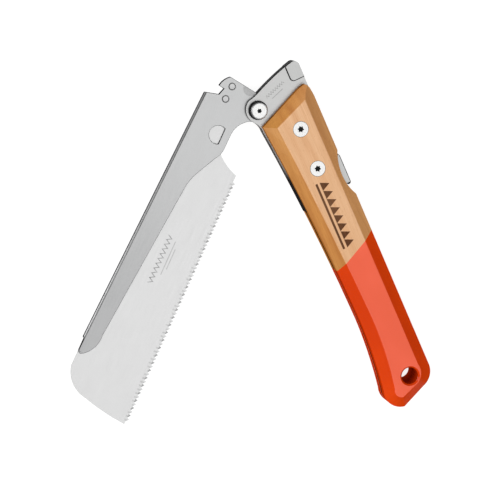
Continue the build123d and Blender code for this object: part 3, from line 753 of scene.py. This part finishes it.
def make_wood():
    """The wood, with the sharp upper corner of its outline sanded round."""
    mesh = mesh_of("handle_wood")
    for (along, across), (next_along, next_across) in zip(WOOD_CORNER, WOOD_CORNER[1:]):
        outward = Vector((across - next_across, next_along - along, 0)).normalized()
        cut_away(mesh, PIVOT + Vector((along, across, 0)) * MM, outward)
    for face in mesh.faces:
        face.smooth = False
    make_piece("sanded_wood", mesh, "handle", "beech", MATERIALS["beech"], "handle_wood")


def make_blade():
    """The blade, its teeth ground to a bevel on alternate faces so that their tips lie to either side."""
    mesh = mesh_of("blade_plate")
    score(mesh, on_blade(0, TOOTH_ROOT - BESIDE_ROOTS), ACROSS_BLADE)
    for vertex in mesh.verts:
        along, across = blade_place(vertex.co)
        tooth = round((along - FIRST_TIP) / TOOTH_PITCH)
        ground_side = 1 if tooth % 2 else -1
        if across > TOOTH_TIP - TIP_REACH and vertex.co.z * ground_side > 0:
            vertex.co.z -= ground_side * GRIND_DEPTH
    make_piece("ground_blade", mesh, "blade", "blade_steel", MATERIALS["blade_steel"], "blade_plate")


def make_spine():
    """The folded spine and tang, with the crease that the fold leaves beside the back, and broken edges."""
    mesh = mesh_of("spine_sheet")
    start = on_blade(*BACK_START)
    back_line = on_blade(*BACK_END) - start
    inward = Vector((0, 0, 1)).cross(back_line).normalized()
    half_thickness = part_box("spine_sheet")[1].z
    for distance, depth in CREASE:
        for vertex in score(mesh, start + inward * distance, inward):
            if abs(vertex.co.z) > half_thickness - ON_FACE:
                vertex.co.z -= math.copysign(depth, vertex.co.z)
    spine = make_piece("folded_spine", mesh, "blade", "spine_steel", MATERIALS["spine_steel"], "spine_sheet")
    soften(spine, SPINE_ARRIS * MM)


def make_rivets():
    """Two peened rivets, slightly dished, with a sunken ring where they meet the sheet."""
    mesh = bmesh.new()
    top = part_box("tang_rivets")[1].z
    front = [(radius * MM, top - depth * MM) for radius, depth in RIVET_PROFILE]
    back = [(radius, -height) for radius, height in reversed(front)]
    for place in TANG_RIVETS:
        add_turning(mesh, front + back, on_blade(*place))
    make_piece("peened_rivets", mesh, "blade", "spine_steel", rivet_steel(), "tang_rivets")


# ---------------------------------------------------------------- stage, light and camera

def make_floor():
    """A slightly glowing white sheet under the saw."""
    mesh = bpy.data.meshes.new("floor")
    far = FLOOR_HALF_SIDE
    corners = [(-far, -far, FLOOR), (far, -far, FLOOR), (far, far, FLOOR), (-far, far, FLOOR)]
    mesh.from_pydata(corners, [], [(0, 1, 2, 3)])
    floor = bpy.data.objects.new("floor", mesh)
    bpy.context.scene.collection.objects.link(floor)
    s = Shader("floor_paper")
    s.set(Base_Color=grey(0.25), Roughness=0.9, Specular_IOR_Level=0.1)
    s.set(Emission_Color=grey(1.0), Emission_Strength=0.86)
    mesh.materials.append(s.material)


def make_light(name, direction, distance, size, power):
    """A square softbox that looks at the middle of the saw."""
    low, high = cad_box
    light = bpy.data.lights.new(name, "AREA")
    light.shape = "SQUARE"
    light.size = size
    light.energy = power
    lamp = bpy.data.objects.new(name, light)
    lamp.location = (low + high) / 2 + direction.normalized() * distance
    lamp.rotation_mode = "QUATERNION"
    lamp.rotation_quaternion = direction.to_track_quat("Z", "Y")
    bpy.context.scene.collection.objects.link(lamp)


def make_world(overhead, horizon, lean):
    """Soft light from above, darker round the horizon and on the side of the handle's back."""
    world = bpy.data.worlds.new("studio")
    world.use_nodes = True
    nodes, links = world.node_tree.nodes, world.node_tree.links
    where = nodes.new("ShaderNodeTexCoord")
    split = nodes.new("ShaderNodeSeparateXYZ")
    links.new(where.outputs["Generated"], split.inputs["Vector"])
    fall = nodes.new("ShaderNodeMapRange")
    fall.interpolation_type = "SMOOTHSTEP"
    fall.inputs["From Min"].default_value = 0.0
    fall.inputs["From Max"].default_value = FULL_SKY
    fall.inputs["To Min"].default_value = horizon
    fall.inputs["To Max"].default_value = overhead
    links.new(split.outputs["Z"], fall.inputs["Value"])
    sideways = nodes.new("ShaderNodeMath")
    sideways.operation = "MULTIPLY_ADD"
    links.new(split.outputs["Y"], sideways.inputs[0])
    sideways.inputs[1].default_value = -lean
    sideways.inputs[2].default_value = 1.0
    level = nodes.new("ShaderNodeMath")
    level.operation = "MULTIPLY"
    links.new(fall.outputs["Result"], level.inputs[0])
    links.new(sideways.outputs["Value"], level.inputs[1])
    background = nodes["Background"]
    background.inputs["Color"].default_value = (1, 1, 1, 1)
    links.new(level.outputs["Value"], background.inputs["Strength"])
    bpy.context.scene.world = world


def make_camera():
    """A long lens that looks down on the saw, tipped a little towards its blade."""
    low, high = cad_box
    right = CAMERA_UP.cross(CAMERA_BACK).normalized()
    turn = Matrix((right, CAMERA_BACK.cross(right), CAMERA_BACK)).transposed()
    place = (low + high) / 2 + CAMERA_AIM + CAMERA_BACK * CAMERA_DISTANCE
    data = bpy.data.cameras.new("camera")
    data.lens = CAMERA_LENS
    data.sensor_width = CAMERA_SENSOR
    data.clip_start, data.clip_end = CAMERA_CLIP
    camera = bpy.data.objects.new("camera", data)
    camera.matrix_world = Matrix.Translation(place) @ turn.to_4x4()
    bpy.context.scene.collection.objects.link(camera)
    bpy.context.scene.camera = camera


def make_studio():
    """The floor, the camera, a softbox that mirrors in the flat steel, a side light and the sky."""
    make_floor()
    make_camera()
    mirror = Vector((-CAMERA_BACK.x, -CAMERA_BACK.y, CAMERA_BACK.z))
    make_light("softbox", mirror, distance=1.5, size=1.3, power=8.4)
    make_light("side_fill", Vector((-0.7, -0.85, 0.8)), distance=1.6, size=1.0, power=14.0)
    make_world(overhead=0.60, horizon=0.15, lean=0.35)
    bpy.context.scene.view_settings.view_transform = "Standard"
    bpy.context.scene.view_settings.look = "None"


dress_cad_nodes()
break_cad_edges()
make_wood()
make_blade()
make_spine()
make_rivets()
make_studio()
